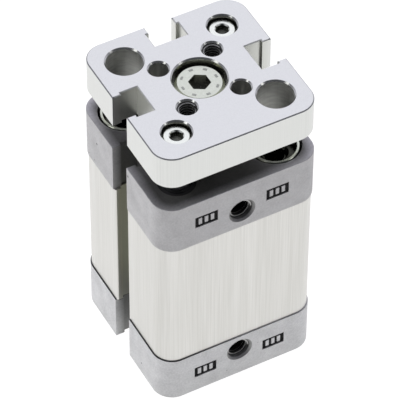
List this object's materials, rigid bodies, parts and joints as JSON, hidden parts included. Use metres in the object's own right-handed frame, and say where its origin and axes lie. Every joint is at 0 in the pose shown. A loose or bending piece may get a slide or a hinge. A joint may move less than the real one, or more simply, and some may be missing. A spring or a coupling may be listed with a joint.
{
  "type": "compact pneumatic cylinder",
  "caption": "Compact pneumatic cylinder: square slotted barrel between cast caps with side air ports, and a guided tool plate that the piston pushes out.",
  "frame": {"origin": "centre of the rear cap's underside, on the rod axis", "axes": "+Z along the rod, the way it comes out; -Y is the port face; -X, +X and +Y carry the sensor slots"},
  "size_m": [0.036, 0.036, 0.071],
  "materials": {
    "barrel_aluminium": "clear anodised extrusion, brushed along its length",
    "plate_aluminium": "clear anodised, fine satin top and milled edges",
    "cast_aluminium": "shot-blasted die casting",
    "piston_aluminium": "turned",
    "ground_steel": "ground and polished",
    "zinc_steel": "bright zinc plating",
    "bearing_bronze": "sintered",
    "bearing_plastic": "filled bearing plastic",
    "magnet_compound": "plastic-bonded magnet",
    "black_rubber": "matt"
  },
  "bodies": {
    "cylinder_body": {"barrel": "barrel_aluminium", "rear_cap": "cast_aluminium", "front_cap": "cast_aluminium", "rear_cap_ring": "black_rubber", "front_cap_ring": "black_rubber", "rod_bush": "bearing_bronze", "rod_seal": "black_rubber", "rear_buffer": "black_rubber", "front_buffer": "black_rubber", "guide_bush_near": "bearing_bronze", "guide_wiper_near": "black_rubber", "guide_bush_far": "bearing_bronze", "guide_wiper_far": "black_rubber", "rear_collar_screws": "zinc_steel", "front_collar_screws": "zinc_steel"},
    "piston_carriage": {"yoke_plate": "plate_aluminium", "yoke_screw": "zinc_steel", "guide_screws": "zinc_steel", "piston_rod": "ground_steel", "piston_rear_half": "piston_aluminium", "piston_front_half": "piston_aluminium", "magnet_ring": "magnet_compound", "guide_ring": "bearing_plastic", "piston_seal_rear": "black_rubber", "piston_seal_front": "black_rubber", "stem_ring": "black_rubber", "piston_bolt": "zinc_steel", "guide_rod_near": "ground_steel", "guide_rod_far": "ground_steel"}
  },
  "joints": [
    {"name": "piston_stroke", "type": "slide", "parent": "cylinder_body", "child": "piston_carriage", "axis": [0, 0, 1], "range_m": [0, 0.02]}
  ]
}
